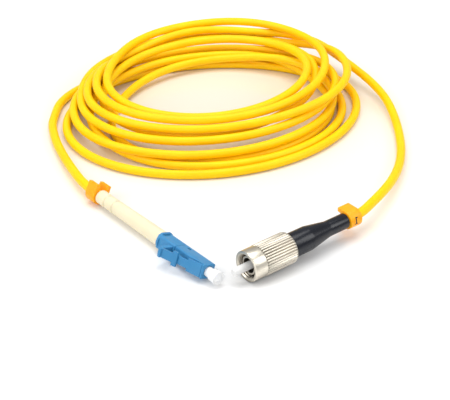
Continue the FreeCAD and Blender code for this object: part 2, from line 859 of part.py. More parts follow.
def coil_point(turn):
    """Centre of the cable after so many turns, from the coil's left side."""
    layer_turns = coil_turns / coil_layers
    angle = math.pi - 2 * math.pi * turn
    spiral = abs((turn / layer_turns) % 2 - 1)
    radius = coil_inner_radius + (coil_outer_radius - coil_inner_radius) * spiral
    layer = 0
    centre_x = coil_centre_x[0]
    for change in range(1, coil_layers):
        late = turn - change * layer_turns
        layer += ease(late / coil_climb_turns + 0.5)
        step = coil_centre_x[change] - coil_centre_x[change - 1]
        centre_x += step * ease(late / coil_shift_turns + 0.5)
    centre_y = coil_centre_y + coil_lean * (turn / coil_turns - 0.5)
    slant = math.radians(coil_slant)
    along = radius * coil_stretch * math.cos(angle - slant)
    across = radius * coil_squeeze * math.sin(angle - slant)
    spread = coil_slack_loop * math.exp(-((turn - coil_slack_turn) / coil_slack_width) ** 2)
    spread += coil_entry_spread * math.exp(-(turn / coil_entry_turns) ** 2)
    x = centre_x + along * math.cos(slant) - across * math.sin(slant) + spread * math.cos(angle)
    y = centre_y + along * math.sin(slant) + across * math.cos(slant) + spread * math.sin(angle)
    return V(x, y, cable_radius + coil_layer_pitch * layer)


def coil_heading(turn):
    little = 0.001
    heading = coil_point(min(coil_turns, turn + little)) - coil_point(max(0, turn - little))
    heading.normalize()
    return heading


def coil_gap():
    """Least gap of the coil to itself, on close points sorted into cells."""
    points_a_turn = 300
    neighbours = 20
    count = int(coil_turns * points_a_turn)
    points = [coil_point(coil_turns * number / count) for number in range(count + 1)]
    reach = 3 * cable_radius
    cells = {}
    for number, point in enumerate(points):
        cell = (int(point.x // reach), int(point.y // reach), int(point.z // reach))
        cells.setdefault(cell, []).append(number)
    least = reach
    for (cx, cy, cz), members in cells.items():
        for ox in (-1, 0, 1):
            for oy in (-1, 0, 1):
                for oz in (-1, 0, 1):
                    for other in cells.get((cx + ox, cy + oy, cz + oz), []):
                        for number in members:
                            if other - number > neighbours:
                                least = min(least, (points[other] - points[number]).Length)
    return least - 2 * cable_radius


def cable_coil():
    quarters_a_turn = 4
    steps = round(coil_turns * quarters_a_turn)
    turns = [coil_turns * step / steps for step in range(steps + 1)]
    points = [coil_point(turn) for turn in turns]
    headings = [coil_heading(turn) for turn in turns]
    edges = [Part.LineSegment(coil_start, points[0]).toShape()]
    for step in range(steps):
        edges += biarc(points[step], headings[step], points[step + 1], headings[step + 1])
    edges.append(Part.LineSegment(points[-1], coil_end).toShape())
    print("coil gap to itself", round(coil_gap(), 2))
    return swept_cable("cable_coil", edges, coil_start, headings[0])


def resting(x, y, heading, nose_down, roll, edge, reach):
    """Placement of a plug whose edge, behind its front, reaches down to the floor."""
    slope = math.radians(nose_down)
    height = reach * math.cos(slope) + edge * math.sin(slope) + floor_gap
    return FreeCAD.Placement(V(x, y, height), FreeCAD.Rotation(heading, nose_down, roll))


coil_start = coil_point(0) - coil_heading(0) * coil_end_run
coil_end = coil_point(coil_turns) + coil_heading(coil_turns) * coil_end_run
fc_place = resting(fc_front_x, fc_front_y, fc_heading, fc_nose_down, 0,
                   -fc_nut_band_length, fc_nut_radius)
lc_rim_reach = (lc_rim_flat * math.sin(math.radians(lc_roll))
                + math.sqrt(lc_rim_radius ** 2 - lc_rim_flat ** 2)
                * math.cos(math.radians(lc_roll)))
lc_place = resting(lc_front_x, lc_front_y, lc_heading, lc_nose_down, lc_roll,
                   lc_sleeve_back + lc_rim_width, lc_rim_reach)

fc_pieces = {
    "fc_coupling_nut": fc_coupling_nut(),
    "fc_frame": fc_frame(),
    "fc_key_ring": fc_key_ring(),
    "fc_ferrule": fc_ferrule(),
    "fc_ferrule_flange": fc_ferrule_flange(),
    "fc_spring": spring(fc_spring_front, fc_spring_length, fc_spring_radius,
                        fc_spring_wire, fc_spring_turns),
    "fc_rear_body": fc_rear_body(),
    "fc_crimp_sleeve": crimp_sleeve(fc_crimp_front, fc_crimp_back),
    "fc_boot": fc_boot(),
    "fc_marker_clip": marker_clip(fc_clip_front, fc_clip_roll),
    "fc_cable_jacket": cable_layer(fc_jacket_front, fc_jacket_back, cable_radius,
                                   yarn_radius + bond_gap),
    "fc_aramid_yarn": aramid_yarn(fc_crimp_front, fc_neck_back, fc_stop_neck_radius,
                                  fc_jacket_back),
    "fc_buffer": cable_layer(fc_ferrule_back - 2 * bond_gap, fc_glass_back, buffer_radius,
                             fibre_radius + bond_gap),
    "fc_fibre": cable_layer(fc_ferrule_reach, fc_glass_back, fibre_radius, 0),
}

lc_pieces = {
    "lc_housing": lc_housing(),
    "lc_latch_lever": lc_latch_lever(),
    "lc_trigger_sleeve": lc_trigger_sleeve(),
    "lc_trigger": lc_trigger(),
    "lc_ferrule": lc_ferrule(),
    "lc_ferrule_flange": lc_ferrule_flange(),
    "lc_spring": spring(lc_spring_front, lc_spring_length, lc_spring_radius,
                        lc_spring_wire, lc_spring_turns),
    "lc_rear_body": lc_rear_body(),
    "lc_crimp_sleeve": crimp_sleeve(lc_crimp_front, lc_crimp_back),
    "lc_boot": lc_boot(),
    "lc_dust_cap": lc_dust_cap(),
    "lc_marker_clip": marker_clip(lc_clip_front, lc_clip_roll),
    "lc_cable_jacket": cable_layer(lc_jacket_front, lc_jacket_back, cable_radius,
                                   yarn_radius + bond_gap),
    "lc_aramid_yarn": aramid_yarn(lc_crimp_front, lc_neck_back, lc_stop_neck_radius,
                                  lc_jacket_back),
    "lc_buffer": cable_layer(lc_ferrule_back - 2 * bond_gap, lc_glass_back, buffer_radius,
                             fibre_radius + bond_gap),
    "lc_fibre": cable_layer(lc_ferrule_reach, lc_glass_back, fibre_radius, 0),
}

def cable_exit(place, back):
    return place.multVec(V(back, 0, 0)), place.Rotation.multVec(V(-1, 0, 0))


pieces = {
    "cable_coil": cable_coil(),
    "lc_lead": lead("lc_lead", *cable_exit(lc_place, lc_jacket_back), lc_lead_first_run,
                    lc_lead_corners, lc_lead_last_run, coil_start, coil_heading(0) * -1),
    "fc_lead": lead("fc_lead", *cable_exit(fc_place, fc_jacket_back), fc_lead_first_run,
                    fc_lead_corners, fc_lead_last_run, coil_end, coil_heading(coil_turns)),
}
for place, group in ((fc_place, fc_pieces), (lc_place, lc_pieces)):
    for name, solid in group.items():
        solid.Placement = place.multiply(solid.Placement)
        pieces[name] = solid

os.makedirs("parts", exist_ok=True)
for name, solid in pieces.items():
    solid.exportStep("parts/" + name + ".step")
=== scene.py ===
import math

import bmesh
import bpy
import numpy as np
from mathutils import Matrix, Vector


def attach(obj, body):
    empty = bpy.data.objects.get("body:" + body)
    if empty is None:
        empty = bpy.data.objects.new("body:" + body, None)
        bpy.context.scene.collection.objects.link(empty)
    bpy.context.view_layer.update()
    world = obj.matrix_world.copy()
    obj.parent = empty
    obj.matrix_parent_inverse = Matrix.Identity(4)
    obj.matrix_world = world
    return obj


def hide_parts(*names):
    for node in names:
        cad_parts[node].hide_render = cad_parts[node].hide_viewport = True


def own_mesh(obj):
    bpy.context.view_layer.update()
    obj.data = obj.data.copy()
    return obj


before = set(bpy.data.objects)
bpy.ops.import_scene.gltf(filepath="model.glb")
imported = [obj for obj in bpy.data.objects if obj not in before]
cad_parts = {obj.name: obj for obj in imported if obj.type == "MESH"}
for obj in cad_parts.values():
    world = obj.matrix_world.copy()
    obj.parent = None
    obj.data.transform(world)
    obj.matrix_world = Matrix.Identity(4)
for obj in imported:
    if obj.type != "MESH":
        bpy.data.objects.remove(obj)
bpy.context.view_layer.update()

# Sizes are in mm, as in the part's source; objects are made in metres. Each plug is
# drawn in its own axes: X points out of its mating end, X = 0 is its front face.
MM = 0.001

cable_radius = 1.5
floor_gap = 0.005

# Where the plugs' front faces lie and how the plugs are turned; the back edge of
# the nut's band and the rim of the LC sleeve rest on the floor
fc_front = (7.28, -21.98)
fc_heading = 218.06
fc_nose_down = 1.2
fc_roll = 0.0
fc_nut_radius = 5.0
fc_nut_band_length = 4.6
lc_front = (-3.6, -21.71)
lc_heading = -50.6
lc_nose_down = 0.1
lc_roll = 72.0
lc_rim_front = -20.8
lc_rim_radius = 3.12
lc_rim_flat = 2.7


def plug_place(front, heading, nose_down, roll, edge, reach):
    """Place of a plug whose edge, behind its front, reaches down to the floor."""
    slope = math.radians(nose_down)
    height = reach * math.cos(slope) + edge * math.sin(slope) + floor_gap
    turn = (Matrix.Rotation(math.radians(heading), 4, "Z")
            @ Matrix.Rotation(slope, 4, "Y")
            @ Matrix.Rotation(math.radians(roll), 4, "X"))
    return Matrix.Translation(Vector((*front, height)) * MM) @ turn


lc_tilt = math.radians(lc_roll)
lc_rim_corner = math.sqrt(lc_rim_radius ** 2 - lc_rim_flat ** 2)
lc_rim_reach = lc_rim_flat * math.sin(lc_tilt) + lc_rim_corner * math.cos(lc_tilt)
fc_place = plug_place(fc_front, fc_heading, fc_nose_down, fc_roll,
                      -fc_nut_band_length, fc_nut_radius)
lc_place = plug_place(lc_front, lc_heading, lc_nose_down, lc_roll, lc_rim_front, lc_rim_reach)


def new_object(name, data):
    """New object that holds the data, put into the scene."""
    made = bpy.data.objects.new(name, data)
    bpy.context.scene.collection.objects.link(made)
    return made


# Camera, fitted to the photo: lens in mm, place in metres, pitch in degrees

camera_lens = 100.32
camera_sensor = 36.0
camera_place = (0.00121, -0.32336, 0.20894)
camera_pitch = 31.05

camera_data = bpy.data.cameras.new("camera")
camera_data.lens = camera_lens
camera_data.sensor_width = camera_sensor
camera_data.clip_start = 0.01
camera = new_object("camera", camera_data)
camera.location = camera_place
camera.rotation_euler = (math.radians(90.0 - camera_pitch), 0.0, 0.0)
bpy.context.scene.camera = camera


# Cable: one spline from the LC plug round the coil to the FC plug

coil_turns = 9.333
coil_layers = 4
coil_inner_radius = 35.0
coil_outer_radius = 48.5
coil_stretch = 1.12
coil_squeeze = 0.93
coil_slant = 25.0
coil_layer_pitch = 3.45
coil_climb_turns = 0.5
coil_shift_turns = 0.9
coil_centre_x = (-3.4, -7.6, -5.4, -2.3)
coil_centre_y = 88.79
coil_lean = 15.7
coil_entry_spread = 3.5
coil_entry_turns = 0.12
coil_slack_loop = 4.6
coil_slack_turn = 0.41
coil_slack_width = 0.12
coil_entry_run = 3.0
points_a_turn = 24

# The loose turns as the photo shows them: where each one crosses the coil's left,
# back, right and front, along that side's axis, and its height there.
left_crossings = [
    (-60.3, 1.5), (-55.6, 1.5), (-47.4, 4.4), (-38.8, 1.6), (-53.4, 4.3),
    (-51.1, 6.4), (-49.2, 8.9), (-43.0, 7.4), (-42.1, 11.85), (-45.7, 11.0),
]
back_crossings = [
    (127.6, 1.5), (124.4, 1.5), (126.0, 4.15), (122.8, 4.15), (132.6, 4.6),
    (141.4, 8.2), (135.4, 7.4), (129.8, 9.7), (142.2, 11.85), (139.2, 10.6),
]
right_crossings = [
    (49.4, 1.5), (44.4, 1.6), (40.6, 1.7), (41.2, 4.7), (42.1, 8.6),
    (46.2, 11.4), (34.6, 8.8), (31.4, 11.85), (38.1, 11.85),
]
front_crossings = [
    (37.2, 1.5), (42.8, 1.5), (46.2, 1.6), (44.8, 4.4), (50.5, 6.9),
    (54.5, 9.4), (55.6, 6.5), (59.7, 11.3), (56.3, 11.85),
]

# The swing into the first turn, as (turn, outward shift, upward shift), and how the
# cable sinks after its last crossing, towards the FC plug's lead
entry_swing = (0.06, 4.4, 0.0)
leaving_turns = 0.25
leaving_drop = 1.0

lc_lead_points = [
    (-41.18, 24.04, 3.12),
    (-44.8, 28.8, 3.1),
    (-48.9, 37.5, 2.8),
    (-53.4, 48.5, 2.2),
    (-57.4, 60.0, 1.7),
    (-59.7, 69.5, 1.5),
]
fc_lead_points = [
    (36.5, 130.4, 8.6),
    (44.6, 119.6, 7.0),
    (51.0, 110.4, 5.7),
    (56.0, 102.0, 4.6),
    (60.5, 90.5, 3.4),
    (62.3, 76.5, 2.2),
    (62.4, 62.0, 1.8),
    (60.9, 48.0, 2.4),
    (58.2, 36.8, 3.4),
    (54.6, 26.6, 4.6),
    (50.6, 18.2, 5.5),
    (46.4, 11.0, 5.9),
    (43.6, 6.7, 5.88),
    (41.29, 4.65, 5.81),
]

# Turns that touch are pushed apart in rounds, until their centres are this far from
# each other or the rounds are over; the cable's ends stay where they are.
turn_spacing = 3.14
near_turn = 6.0
same_run = 14.0
settle_rounds = 90
settle_check_rounds = 15
settle_step = 2.0
settled_depth = 0.02
least_distance = 1e-6
samples_a_span = 5
cable_low = cable_radius
cable_high = 11.85
fixed_start_points = 4
fixed_end_points = 9

# How finely the cable is drawn, round it and along it
cable_round_steps = 8
cable_span_steps = 6


def ease(share):
    """Smooth step from 0 to 1 over a share of 0 to 1."""
    share = min(1.0, max(0.0, share))
    return share * share * (3.0 - 2.0 * share)


def coil_point(turn, out=0.0, up=0.0):
    """Centre of the cable after so many turns, from the coil's left side."""
    layer_turns = coil_turns / coil_layers
    angle = math.pi - 2.0 * math.pi * turn
    spiral = abs((turn / layer_turns) % 2.0 - 1.0)
    radius = coil_inner_radius + (coil_outer_radius - coil_inner_radius) * spiral
    layer = 0.0
    centre_x = coil_centre_x[0]
    for change in range(1, coil_layers):
        late = turn - change * layer_turns
        layer += ease(late / coil_climb_turns + 0.5)
        step = coil_centre_x[change] - coil_centre_x[change - 1]
        centre_x += step * ease(late / coil_shift_turns + 0.5)
    centre_y = coil_centre_y + coil_lean * (turn / coil_turns - 0.5)
    slant = math.radians(coil_slant)
    along = radius * coil_stretch * math.cos(angle - slant)
    across = radius * coil_squeeze * math.sin(angle - slant)
    spread = coil_slack_loop * math.exp(-((turn - coil_slack_turn) / coil_slack_width) ** 2)
    spread += coil_entry_spread * math.exp(-(turn / coil_entry_turns) ** 2) + out
    x = centre_x + along * math.cos(slant) - across * math.sin(slant) + spread * math.cos(angle)
    y = centre_y + along * math.sin(slant) + across * math.cos(slant) + spread * math.sin(angle)
    return Vector((x, y, cable_radius + coil_layer_pitch * layer + up))


def slack_marks():
    """(turn, outward shift, upward shift) of the loose turns at each crossing."""
    sides = ((left_crossings, 0, -1.0), (back_crossings, 1, 1.0),
             (right_crossings, 0, 1.0), (front_crossings, 1, -1.0))
    marks = []
    for number in range(sum(len(side[0]) for side in sides)):
        crossings, axis, outward = sides[number % len(sides)]
        place, height = crossings[number // len(sides)]
        turn = number / len(sides)
        plain = coil_point(turn)
        marks.append((turn, outward * (place - plain[axis]), height - plain.z))
    last_turn, last_out, last_up = marks[-1]
    marks.append((last_turn + leaving_turns, last_out, last_up - leaving_drop))
    return sorted(marks + [entry_swing])


def slack(marks, turn):
    """Outward and upward shift at a turn, on a smooth line through the marks."""
    number = 0
    while marks[number + 1][0] < turn:
        number += 1
    before, first = marks[max(number - 1, 0)], marks[number]
    second, after = marks[number + 1], marks[min(number + 2, len(marks) - 1)]
    span = second[0] - first[0]
    share = (turn - first[0]) / span
    shifts = []
    for part in (1, 2):
        slope_first = (second[part] - before[part]) / (second[0] - before[0]) * span
        slope_second = (after[part] - first[part]) / (after[0] - first[0]) * span
        shifts.append(first[part] * (2 * share ** 3 - 3 * share ** 2 + 1)
                      + slope_first * (share ** 3 - 2 * share ** 2 + share)
                      + second[part] * (3 * share ** 2 - 2 * share ** 3)
                      + slope_second * (share ** 3 - share ** 2))
    return shifts


def sample_weights(point_count):
    """What each sample along the spline takes from each of its control points."""
    count = (point_count - 2) * samples_a_span
    weights = np.zeros((count, point_count))
    for sample in range(count):
        span, share = divmod(sample, samples_a_span)
        share /= samples_a_span
        weights[sample, span:span + 3] = (0.5 * (1.0 - share) ** 2, 0.5 + share - share ** 2,
                                          0.5 * share ** 2)
    return weights


def near_samples(samples):
    """Pairs of samples that lie near each other on different runs of the cable."""
    steps = np.linalg.norm(np.diff(samples, axis=0), axis=1)
    run = np.concatenate(([0.0], np.cumsum(steps)))
    square = (samples ** 2).sum(1)
    near = square[:, None] + square[None, :] - 2.0 * samples @ samples.T < near_turn ** 2
    near &= np.abs(run[:, None] - run[None, :]) > same_run
    return np.nonzero(np.triu(near))


def deepest_push(count, samples, pushes, depths):
    """Each sample's push out of the turn that lies deepest in it, and that depth."""
    order = np.argsort(depths, kind="stable")
    push = np.zeros((count, 3))
    depth = np.zeros(count)
    push[samples[order]] = pushes[order]
    depth[samples[order]] = depths[order]
    return push, depth


def settle(route):
    """Push the turns that lie in one another apart, with the cable's ends held."""
    points = np.array([tuple(point) for point in route])
    free = np.ones((len(points), 1))
    free[:fixed_start_points] = 0.0
    free[len(points) - fixed_end_points:] = 0.0
    weights = sample_weights(len(points))
    point_weights = weights.sum(0)[:, None]
    for number in range(settle_rounds):
        samples = weights @ points
        if number % settle_check_rounds == 0:
            one, other = near_samples(samples)
        apart = samples[one] - samples[other]
        distance = np.maximum(np.linalg.norm(apart, axis=1), least_distance)
        depth = np.maximum(turn_spacing - distance, 0.0)
        if depth.max() < settled_depth:
            break
        push = apart / distance[:, None] * (depth * 0.5)[:, None]
        push_one, depth_one = deepest_push(len(samples), one, push, depth)
        push_other, depth_other = deepest_push(len(samples), other, -push, depth)
        use = np.where((depth_one >= depth_other)[:, None], push_one, push_other)
        both = (depth_one > 0.0) & (depth_other > 0.0)
        use[both] = (push_one + push_other)[both]
        shift = weights.T @ use / point_weights
        shift[1:-1] = (shift[:-2] + 2.0 * shift[1:-1] + shift[2:]) / 4.0
        points += settle_step * shift * free
        points[:, 2] = np.clip(points[:, 2], cable_low, cable_high)
    return [Vector(point) for point in points.tolist()]


def cable_route():
    """Control points of the cable from plug to plug."""
    count = round(coil_turns * points_a_turn)
    turns = [coil_turns * number / count for number in range(count + 1)]
    marks = slack_marks()
    coil = [coil_point(turn, *slack(marks, turn)) for turn in turns]
    start = coil[0] + (coil[0] - coil[1]).normalized() * coil_entry_run
    route = [Vector(point) for point in lc_lead_points]
    route += [start] + coil
    route += [Vector(point) for point in fc_lead_points]
    return settle(route)


def cable_curve():
    """The cable as a round curve along its route."""
    data = bpy.data.curves.new("patch_cable", "CURVE")
    data.dimensions = "3D"
    # The thickness is in the points' own radius, which Blender's box of a curve counts too.
    data.bevel_depth = 1.0
    data.bevel_resolution = cable_round_steps
    data.resolution_u = cable_span_steps
    data.use_fill_caps = True
    spline = data.splines.new("NURBS")
    route = cable_route()
    spline.points.add(len(route) - 1)
    for point, place in zip(spline.points, route):
        point.co = (*(place * MM), 1.0)
        point.radius = cable_radius * MM
    spline.order_u = 3
    spline.use_endpoint_u = True
    return new_object("patch_cable", data)


cable = cable_curve()
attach(cable, "cable")
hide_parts("lc_lead", "cable_coil", "fc_lead")


# Materials: their building blocks

def material(name, colour, roughness, metallic=0.0):
    """New material with plain values; returns it, its nodes' tree and its shader."""
    made = bpy.data.materials.new(name)
    made.use_nodes = True
    shader = made.node_tree.nodes["Principled BSDF"]
    shader.inputs["Base Color"].default_value = (*colour, 1.0)
    shader.inputs["Roughness"].default_value = roughness
    shader.inputs["Metallic"].default_value = metallic
    return made, made.node_tree, shader


def node_math(tree, operation, *values):
    """Result of one operation on numbers and other nodes' outputs."""
    step = tree.nodes.new("ShaderNodeMath")
    step.operation = operation
    for number, value in enumerate(values):
        if isinstance(value, float):
            step.inputs[number].default_value = value
        else:
            tree.links.new(value, step.inputs[number])
    return step.outputs["Value"]


def lay_out(tree, texture, scale, shift=(0.0, 0.0, 0.0)):
    """Lay a texture out on the object's own coordinates."""
    place = tree.nodes.new("ShaderNodeTexCoord")
    sizing = tree.nodes.new("ShaderNodeMapping")
    sizing.inputs["Location"].default_value = shift
    sizing.inputs["Scale"].default_value = scale
    tree.links.new(place.outputs["Object"], sizing.inputs["Vector"])
    tree.links.new(sizing.outputs["Vector"], texture.inputs["Vector"])


def noise(tree, scale, detail=2.0, stretch=(1.0, 1.0, 1.0)):
    """Noise on the object's own coordinates, with its scale per metre."""
    texture = tree.nodes.new("ShaderNodeTexNoise")
    texture.inputs["Scale"].default_value = scale
    texture.inputs["Detail"].default_value = detail
    lay_out(tree, texture, stretch)
    return texture.outputs["Fac"]


def tint(tree, shader, factor, first, second, low=0.3, high=0.7):
    """Colour that goes from one to another between two values of the factor."""
    ramp = tree.nodes.new("ShaderNodeValToRGB")
    ramp.color_ramp.elements[0].position = low
    ramp.color_ramp.elements[0].color = (*first, 1.0)
    ramp.color_ramp.elements[1].position = high
    ramp.color_ramp.elements[1].color = (*second, 1.0)
    tree.links.new(factor, ramp.inputs["Fac"])
    tree.links.new(ramp.outputs["Color"], shader.inputs["Base Color"])


def gloss(tree, shader, factor, low, high):
    """Roughness that wanders between two values."""
    spread = tree.nodes.new("ShaderNodeMapRange")
    spread.inputs["To Min"].default_value = low
    spread.inputs["To Max"].default_value = high
    tree.links.new(factor, spread.inputs["Value"])
    tree.links.new(spread.outputs["Result"], shader.inputs["Roughness"])


def bump(tree, shader, factor, strength, distance):
    """Fine relief, its height in mm."""
    relief = tree.nodes.new("ShaderNodeBump")
    relief.inputs["Strength"].default_value = strength
    relief.inputs["Distance"].default_value = distance * MM
    tree.links.new(factor, relief.inputs["Height"])
    tree.links.new(relief.outputs["Normal"], shader.inputs["Normal"])


def blend(tree, shader, factor, colour, colour_end, plain_end):
    """Mix a colour into the shader's own; end A shows at a factor of 0 and end B at 1."""
    mix = tree.nodes.new("ShaderNodeMix")
    mix.data_type = "RGBA"
    mix.inputs[colour_end].default_value = (*colour, 1.0)
    plain = shader.inputs["Base Color"].links[0].from_socket
    tree.links.new(plain, mix.inputs[plain_end])
    tree.links.new(factor, mix.inputs["Factor"])
    tree.links.new(mix.outputs["Result"], shader.inputs["Base Color"])


# Plastics: colour drift, uneven gloss, grain, and light that shines through

plastic_drift_scale = 120.0
plastic_gloss_scale = 600.0
plastic_gloss_range = (0.8, 1.2)
plastic_grain_strength = 0.25
plastic_glow_reach = 1.2


def plastic(name, first, second, roughness, grain, depth, glow=0.0, glow_colour=None, shine=0.5):
    """Moulded plastic: slight colour drift, fine grain and uneven gloss."""
    made, tree, shader = material(name, first, roughness)
    shader.inputs["Specular IOR Level"].default_value = shine
    tint(tree, shader, noise(tree, plastic_drift_scale, 3.0), first, second)
    low, high = plastic_gloss_range
    gloss(tree, shader, noise(tree, plastic_gloss_scale), roughness * low, roughness * high)
    bump(tree, shader, noise(tree, grain, 4.0), plastic_grain_strength, depth)
    if glow:
        shader.inputs["Subsurface Weight"].default_value = glow
        shader.inputs["Subsurface Radius"].default_value = glow_colour
        shader.inputs["Subsurface Scale"].default_value = plastic_glow_reach * MM
    return made


yellow = plastic("jacket_yellow", (0.98, 0.58, 0.0006), (1.0, 0.64, 0.0012), roughness=0.42,
                 grain=900.0, depth=0.012, glow=0.25, glow_colour=(1.0, 0.5, 0.005), shine=0.22)
ivory = plastic("boot_ivory", (0.80, 0.70, 0.48), (0.84, 0.74, 0.53), roughness=0.5,
                grain=1800.0, depth=0.02, glow=0.3, glow_colour=(1.0, 0.8, 0.5))
black = plastic("boot_black", (0.003, 0.004, 0.008), (0.006, 0.008, 0.014), roughness=0.26,
                grain=1400.0, depth=0.02, shine=0.35)
blue = plastic("body_blue", (0.036, 0.22, 0.45), (0.048, 0.25, 0.49), roughness=0.42,
               grain=1700.0, depth=0.02, glow=0.1, glow_colour=(0.2, 0.5, 1.0), shine=0.4)
white = plastic("cap_white", (0.84, 0.85, 0.86), (0.88, 0.88, 0.88), roughness=0.42,
                grain=1500.0, depth=0.02, glow=0.12, glow_colour=(1.0, 0.95, 0.85))
orange = plastic("clip_orange", (1.0, 0.37, 0.004), (1.0, 0.43, 0.006), roughness=0.4,
                 grain=1500.0, depth=0.02, glow=0.3, glow_colour=(1.0, 0.35, 0.02), shine=0.3)
ceramic = plastic("zirconia", (0.74, 0.74, 0.73), (0.78, 0.78, 0.77), roughness=0.3,
                  grain=2500.0, depth=0.005, glow=0.1, glow_colour=(1.0, 0.97, 0.9))
yarn = plastic("aramid_yarn", (0.85, 0.62, 0.12), (0.92, 0.72, 0.20), roughness=0.8,
               grain=700.0, depth=0.1)
buffer_coat = plastic("buffer_coat", (0.90, 0.90, 0.86), (0.94, 0.94, 0.90), roughness=0.4,
                      grain=1500.0, depth=0.02)


# Metals: colour drift, fine lines from the tool, and painted shade that darkens their hollows to a
# warm dark brown

metal_drift_scale = 200.0
metal_line_scale = 900.0
metal_line_strength = 0.06
metal_line_depth = 0.01
metal_gloss_range = (0.85, 1.2)
# Painted shade for the hollows: how far ambient occlusion looks, how strongly it darkens, and the
# warm dark brown it paints in
painted_shade_reach = 2.0
painted_shade_strength = 1.5
painted_shade_colour = (0.05, 0.035, 0.02)
lines_along = (0.2, 1.0, 1.0)
lines_around = (1.0, 0.2, 0.2)


def metal(name, first, second, roughness, stretch):
    """Plated or turned metal with fine lines from the tool, and painted shade that darkens its
    hollows.
    """
    made, tree, shader = material(name, first, roughness, 1.0)
    tint(tree, shader, noise(tree, metal_drift_scale, 3.0), first, second)
    lines = noise(tree, metal_line_scale, 3.0, stretch)
    low, high = metal_gloss_range
    gloss(tree, shader, lines, roughness * low, roughness * high)
    bump(tree, shader, lines, metal_line_strength, metal_line_depth)
    # Painted shade: ambient occlusion darkens the colour in hollows and corners towards a warm dark
    # brown
    shade = tree.nodes.new("ShaderNodeAmbientOcclusion")
    shade.inputs["Distance"].default_value = painted_shade_reach * MM
    painted_shade_openness = node_math(tree, "POWER", shade.outputs["AO"], painted_shade_strength)
    blend(tree, shader, painted_shade_openness, painted_shade_colour, "A", "B")
    return made


nickel = metal("nickel", (0.68, 0.63, 0.53), (0.74, 0.69, 0.59), 0.33, lines_along)
steel = metal("steel", (0.42, 0.40, 0.37), (0.48, 0.46, 0.43), 0.35, lines_around)
aluminium = metal("aluminium", (0.80, 0.80, 0.80), (0.86, 0.86, 0.86), 0.35, lines_around)


# Glass

def glass_fibre():
    """Clear glass with a faint waviness."""
    made, tree, shader = material("glass_fibre", (0.95, 0.97, 1.0), 0.02)
    shader.inputs["Transmission Weight"].default_value = 0.9
    shader.inputs["IOR"].default_value = 1.47
    bump(tree, shader, noise(tree, 3000.0), 0.05, 0.002)
    return made


glass = glass_fibre()


# The plain digit on the FC clip, as (x, z, half width, half height) strokes in the
# plug's axes, printed on what lies past this Y
digit_strokes = [
    (-41.0, 0.5, 0.24, 1.1),
    (-41.0, -0.62, 0.62, 0.18),
    (-41.3, 1.42, 0.35, 0.18),
]
digit_side = 1.0
digit_ink = (0.02, 0.015, 0.012)


def marked_orange():
    """The clip's orange with a plain black 1 printed on its front side."""
    made = orange.copy()
    made.name = "clip_orange_marked"
    tree = made.node_tree
    place = tree.nodes.new("ShaderNodeTexCoord")
    split = tree.nodes.new("ShaderNodeSeparateXYZ")
    tree.links.new(place.outputs["Object"], split.inputs["Vector"])
    ink = 0.0
    for x, z, half_width, half_height in digit_strokes:
        across = node_math(tree, "COMPARE", split.outputs["X"], x * MM, half_width * MM)
        along = node_math(tree, "COMPARE", split.outputs["Z"], z * MM, half_height * MM)
        stroke = node_math(tree, "MULTIPLY", across, along)
        ink = node_math(tree, "MAXIMUM", ink, stroke)
    side = node_math(tree, "GREATER_THAN", split.outputs["Y"], digit_side * MM)
    ink = node_math(tree, "MULTIPLY", ink, side)
    blend(tree, tree.nodes["Principled BSDF"], ink, digit_ink, "B", "A")
    return made


def paint(thing, finish):
    """Give the whole thing one finish."""
    thing.data.materials.clear()
    thing.data.materials.append(finish)


paint(cable, yellow)

# What the nodes are made of; pieces that stand for a node are painted when they are made
node_finishes = {
    nickel: ("fc_frame", "fc_key_ring", "fc_rear_body", "fc_coupling_nut"),
    steel: ("fc_ferrule_flange", "lc_ferrule_flange", "fc_spring", "lc_spring", "lc_rear_body"),
    aluminium: ("fc_crimp_sleeve", "lc_crimp_sleeve"),
    ceramic: ("fc_ferrule", "lc_ferrule"),
    black: ("fc_boot",),
    ivory: ("lc_boot",),
    blue: ("lc_housing", "lc_latch_lever", "lc_trigger_sleeve", "lc_trigger"),
    white: ("lc_dust_cap",),
    orange: ("fc_marker_clip", "lc_marker_clip"),
    yellow: ("fc_cable_jacket", "lc_cable_jacket"),
    yarn: ("fc_aramid_yarn", "lc_aramid_yarn"),
    buffer_coat: ("fc_buffer", "lc_buffer"),
    glass: ("fc_fibre", "lc_fibre"),
}
for finish, nodes in node_finishes.items():
    for node in nodes:
        for holder in bpy.data.objects[node].material_slots:
            holder.material = finish


# Pieces: how they are made. Angles are in degrees; crisp and soft are the fillets of
# edges that hardly show.

smooth_angle = 32.0
fillet_steps = 4
fillet_share = 0.48
lathe_segments = 96
crisp = 0.02
soft = 0.05
weld_distance = 0.002
flat_angle = 1.0
edge_angle = 28.0
edge_segments = 3


def add(name, mesh, place, body, finish, node):
    """Object from a mesh in a plug's axes that stands for the named CAD node."""
    piece = new_object(name, mesh)
    piece.matrix_world = place
    paint(piece, finish)
    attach(piece, body)
    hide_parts(node)
    return piece


def smooth(mesh, angle=smooth_angle):
    """Shade a mesh smooth, apart from edges that are sharper than the angle."""
    for face in mesh.polygons:
        face.use_smooth = True
    mesh.set_sharp_from_angle(angle=math.radians(angle))


def filleted(outline):
    """(x, radius) points of a closed (x, radius, fillet) outline with rounded corners."""
    rounded = []
    for number, (x, radius, fillet) in enumerate(outline):
        if not fillet:
            rounded.append((x, radius))
            continue
        corner = Vector((x, radius))
        before = Vector(outline[number - 1][:2]) - corner
        after = Vector(outline[(number + 1) % len(outline)][:2]) - corner
        half = before.angle(after) / 2.0
        reach = min(fillet / math.tan(half), before.length * fillet_share,
                    after.length * fillet_share)
        size = reach * math.tan(half)
        inward = (before.normalized() + after.normalized()).normalized()
        centre = corner + inward * (size / math.sin(half))
        first = corner + before.normalized() * reach - centre
        sweep = math.pi - 2.0 * half
        if first.x * after.y - first.y * after.x < 0.0:
            sweep = -sweep
        for step in range(fillet_steps + 1):
            spoke = Matrix.Rotation(sweep * step / fillet_steps, 2) @ first
            rounded.append((centre.x + spoke.x, centre.y + spoke.y))
    return rounded


def even_turns(count):
    """Angles that share a full turn evenly."""
    return [2.0 * math.pi * number / count for number in range(count)]


